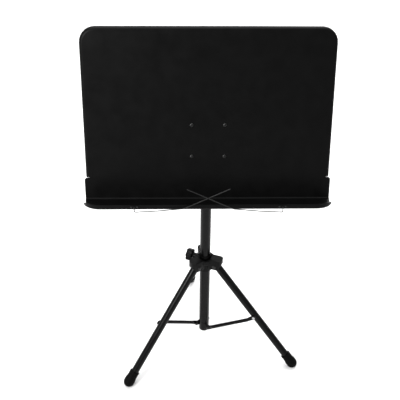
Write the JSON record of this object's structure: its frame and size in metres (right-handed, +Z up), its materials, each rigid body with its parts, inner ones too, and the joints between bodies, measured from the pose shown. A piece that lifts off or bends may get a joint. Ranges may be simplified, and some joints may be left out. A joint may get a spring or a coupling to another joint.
{
  "type": "music stand",
  "caption": "Folding music stand: sheet-metal desk with shelf and swinging page wires on a height-adjustable mast and a braced folding tripod.",
  "frame": {"origin": "centre of the bounding box on the floor plane", "axes": "+Z up along the mast, X along the desk's width, -Y towards the player"},
  "size_m": [0.4964, 0.3886, 0.8314],
  "materials": {
    "desk_black": "satin black powder coat on sheet steel",
    "tube_black": "satin black powder coat on steel tube",
    "plastic_black": "matte black moulded plastic",
    "rubber_black": "matte black rubber",
    "dark_steel": "blackened steel",
    "bright_steel": "zinc plated steel",
    "nylon": "natural nylon"
  },
  "bodies": {
    "base": {"main_tube": "tube_black", "tube_bushing": "nylon", "height_clamp_body": "plastic_black", "lower_bracket": "tube_black", "brace_base_rivet_left": "dark_steel", "brace_base_rivet_right": "dark_steel", "brace_base_rivet_rear": "dark_steel"},
    "hub": {"hub_casting": "plastic_black", "hub_bushing": "plastic_black", "leg_pivot_rivet_left": "dark_steel", "leg_pivot_rivet_right": "dark_steel", "leg_pivot_rivet_rear": "dark_steel"},
    "hub_lock": {"hub_lock_knob": "plastic_black", "hub_lock_screw": "dark_steel"},
    "height_clamp": {"height_clamp_knob": "plastic_black", "height_clamp_screw": "dark_steel"},
    "shaft": {"shaft_tube": "bright_steel", "shaft_glide_ring": "nylon"},
    "head": {"tilt_head": "plastic_black", "friction_washer_left": "nylon", "friction_washer_right": "nylon"},
    "head_clamp": {"head_clamp_knob": "plastic_black", "head_clamp_screw": "dark_steel"},
    "desk": {"desk_panel": "desk_black", "tilt_bracket": "tube_black", "desk_screw_1": "dark_steel", "desk_screw_2": "dark_steel", "desk_screw_3": "dark_steel", "desk_screw_4": "dark_steel", "tilt_bolt": "dark_steel", "tilt_bolt_washer": "bright_steel", "wire_saddle_left": "tube_black", "wire_saddle_right": "tube_black", "saddle_rivet_left_1": "bright_steel", "saddle_rivet_left_2": "bright_steel", "saddle_rivet_right_1": "bright_steel", "saddle_rivet_right_2": "bright_steel"},
    "tilt_grip": {"tilt_knob": "plastic_black", "tilt_knob_nut": "bright_steel"},
    "page_wire_l": {"page_wire_left": "dark_steel", "wire_push_nut_left": "bright_steel"},
    "page_wire_r": {"page_wire_right": "dark_steel", "wire_push_nut_right": "bright_steel"},
    "leg_left": {"leg_tube_left": "tube_black", "leg_cap_left": "plastic_black", "boot_left": "rubber_black"},
    "brace_arm_left": {"brace_left": "tube_black", "brace_leg_rivet_left": "bright_steel"},
    "leg_right": {"leg_tube_right": "tube_black", "leg_cap_right": "plastic_black", "boot_right": "rubber_black"},
    "brace_arm_right": {"brace_right": "tube_black", "brace_leg_rivet_right": "bright_steel"},
    "leg_rear": {"leg_tube_rear": "tube_black", "leg_cap_rear": "plastic_black", "boot_rear": "rubber_black"},
    "brace_arm_rear": {"brace_rear": "tube_black", "brace_leg_rivet_rear": "bright_steel"}
  },
  "joints": [
    {"name": "hub_slide", "type": "slide", "parent": "base", "child": "hub", "axis": [0, 0, 1], "range_m": [0, 0.0972]},
    {"name": "leg_fold_left", "type": "hinge", "parent": "hub", "child": "leg_left", "pos_m": [-0.02065, -0.05853, 0.2576], "axis": [0.6157, -0.788, 0], "range_deg": [0, 37.02]},
    {"name": "leg_fold_right", "type": "hinge", "parent": "hub", "child": "leg_right", "pos_m": [0.02429, -0.05221, 0.2576], "axis": [0.3746, 0.9272, 0], "range_deg": [0, 37.02]},
    {"name": "leg_fold_rear", "type": "hinge", "parent": "hub", "child": "leg_rear", "pos_m": [-0.00365, -0.01646, 0.2576], "axis": [-0.9903, -0.1392, 0], "range_deg": [0, 37.02]},
    {"name": "brace_fold_left", "type": "hinge", "parent": "base", "child": "brace_arm_left", "pos_m": [-0.01143, -0.05133, 0.0615], "axis": [-0.6157, 0.788, 0], "range_deg": [0, 50.53]},
    {"name": "brace_fold_right", "type": "hinge", "parent": "base", "child": "brace_arm_right", "pos_m": [0.01344, -0.04783, 0.0615], "axis": [-0.3746, -0.9272, 0], "range_deg": [0, 50.53]},
    {"name": "brace_fold_rear", "type": "hinge", "parent": "base", "child": "brace_arm_rear", "pos_m": [-0.00202, -0.02804, 0.0615], "axis": [0.9903, 0.1392, 0], "range_deg": [0, 50.53]},
    {"name": "hub_lock_turn", "type": "hinge", "parent": "hub", "child": "hub_lock", "pos_m": [0, -0.0424, 0.2675], "axis": [-0.9272, 0.3746, 0], "range_deg": [-720, 0]},
    {"name": "height_clamp_turn", "type": "hinge", "parent": "base", "child": "height_clamp", "pos_m": [0, -0.0424, 0.517], "axis": [0, 1, 0], "range_deg": [-720, 0]},
    {"name": "height_slide", "type": "slide", "parent": "base", "child": "shaft", "axis": [0, 0, 1], "range_m": [0, 0.335]},
    {"name": "desk_swivel", "type": "hinge", "parent": "shaft", "child": "head", "pos_m": [0, -0.0424, 0.587], "axis": [0, 0, 1], "continuous": true},
    {"name": "head_clamp_turn", "type": "hinge", "parent": "head", "child": "head_clamp", "pos_m": [0, -0.0424, 0.587], "axis": [0, 1, 0], "range_deg": [-720, 0]},
    {"name": "desk_tilt", "type": "hinge", "parent": "head", "child": "desk", "pos_m": [0, -0.0644, 0.607], "axis": [1, 0, 0], "range_deg": [-60, 20]},
    {"name": "tilt_knob_turn", "type": "hinge", "parent": "desk", "child": "tilt_grip", "pos_m": [0, -0.0644, 0.607], "axis": [1, 0, 0], "range_deg": [-720, 0]},
    {"name": "page_wire_swing_left", "type": "hinge", "parent": "desk", "child": "page_wire_l", "pos_m": [-0.146, -0.18251, 0.51419], "axis": [0, -0.9744, 0.225], "range_deg": [0, 95]},
    {"name": "page_wire_swing_right", "type": "hinge", "parent": "desk", "child": "page_wire_r", "pos_m": [0.146, -0.18251, 0.51419], "axis": [0, 0.9744, -0.225], "range_deg": [0, 95]}
  ],
  "couplings": [
    {"joint": "leg_fold_left", "follows": "hub_slide", "rad_per_m": 6.6384},
    {"joint": "leg_fold_right", "follows": "hub_slide", "rad_per_m": 6.6384},
    {"joint": "leg_fold_rear", "follows": "hub_slide", "rad_per_m": 6.6384},
    {"joint": "brace_fold_left", "follows": "hub_slide", "rad_per_m": 9.0642},
    {"joint": "brace_fold_right", "follows": "hub_slide", "rad_per_m": 9.0642},
    {"joint": "brace_fold_rear", "follows": "hub_slide", "rad_per_m": 9.0642}
  ]
}
